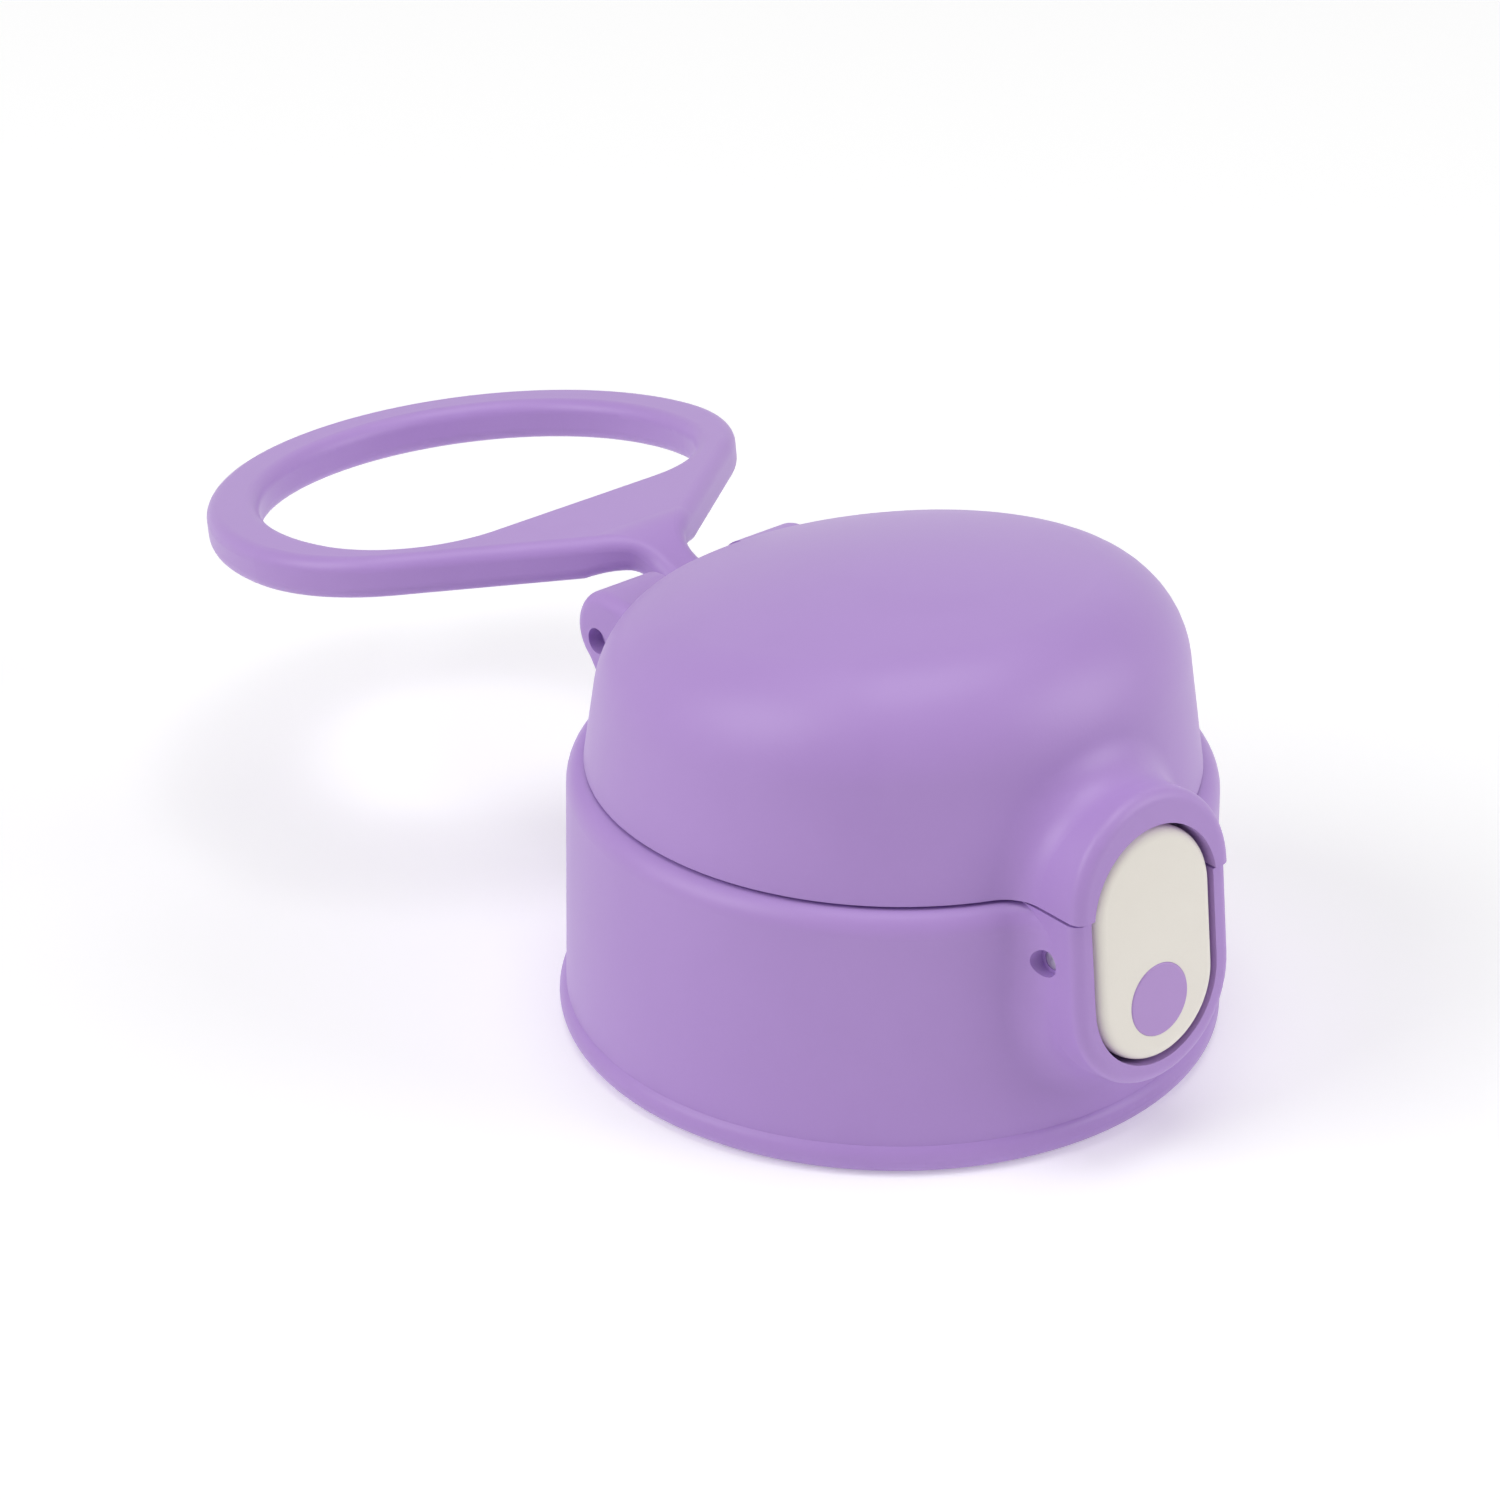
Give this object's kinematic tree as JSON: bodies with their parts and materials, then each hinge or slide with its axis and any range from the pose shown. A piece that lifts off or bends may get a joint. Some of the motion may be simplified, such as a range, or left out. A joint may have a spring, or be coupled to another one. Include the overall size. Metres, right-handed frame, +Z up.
{
  "type": "straw bottle cap",
  "caption": "Flip lid drinking cap with a push button, a straw spout, a threaded neck and a ring shaped carry loop on the hinge.",
  "frame": {"origin": "on the axis of the neck thread, in the plane of the lower rim", "axes": "+Z up along the thread axis towards the lid, minus Y towards the push button, plus Y towards the hinge and the carry loop, X along the hinge pin"},
  "size_m": [0.0654, 0.1322, 0.0489],
  "materials": {
    "shell": "satin lilac moulding with a very fine grain",
    "inner": "smooth off white moulding",
    "button": "matt cream moulding",
    "seal": "translucent white silicone",
    "steel": "drawn steel wire and pins"
  },
  "bodies": {
    "base": {"collar_shell": "shell", "inner_cap": "inner", "neck_gasket": "seal", "mouthpiece": "seal", "vent_valve": "seal", "hinge_pin": "steel", "hinge_spring": "steel", "button_pin": "steel", "button_spring": "steel"},
    "lid": {"lid_dome": "shell", "lid_liner": "inner", "spout_stopper": "seal"},
    "button": {"push_button": "button", "button_dot": "shell"},
    "loop": {"carry_loop": "shell"}
  },
  "joints": [
    {"name": "lid_hinge", "type": "hinge", "parent": "base", "child": "lid", "pos_m": [0, 0.029, 0.0327], "axis": [-1, 0, 0], "range_deg": [0, 82], "deforming": ["hinge_spring"]},
    {"name": "button_rock", "type": "hinge", "parent": "base", "child": "button", "pos_m": [0, -0.03205, 0.0221], "axis": [1, 0, 0], "range_deg": [0, 5], "stiffness_Nm_per_rad": 0.05, "deforming": ["button_spring"]},
    {"name": "loop_swing", "type": "hinge", "parent": "base", "child": "loop", "pos_m": [0, 0.029, 0.0327], "axis": [1, 0, 0], "range_deg": [-45, 0]}
  ]
}
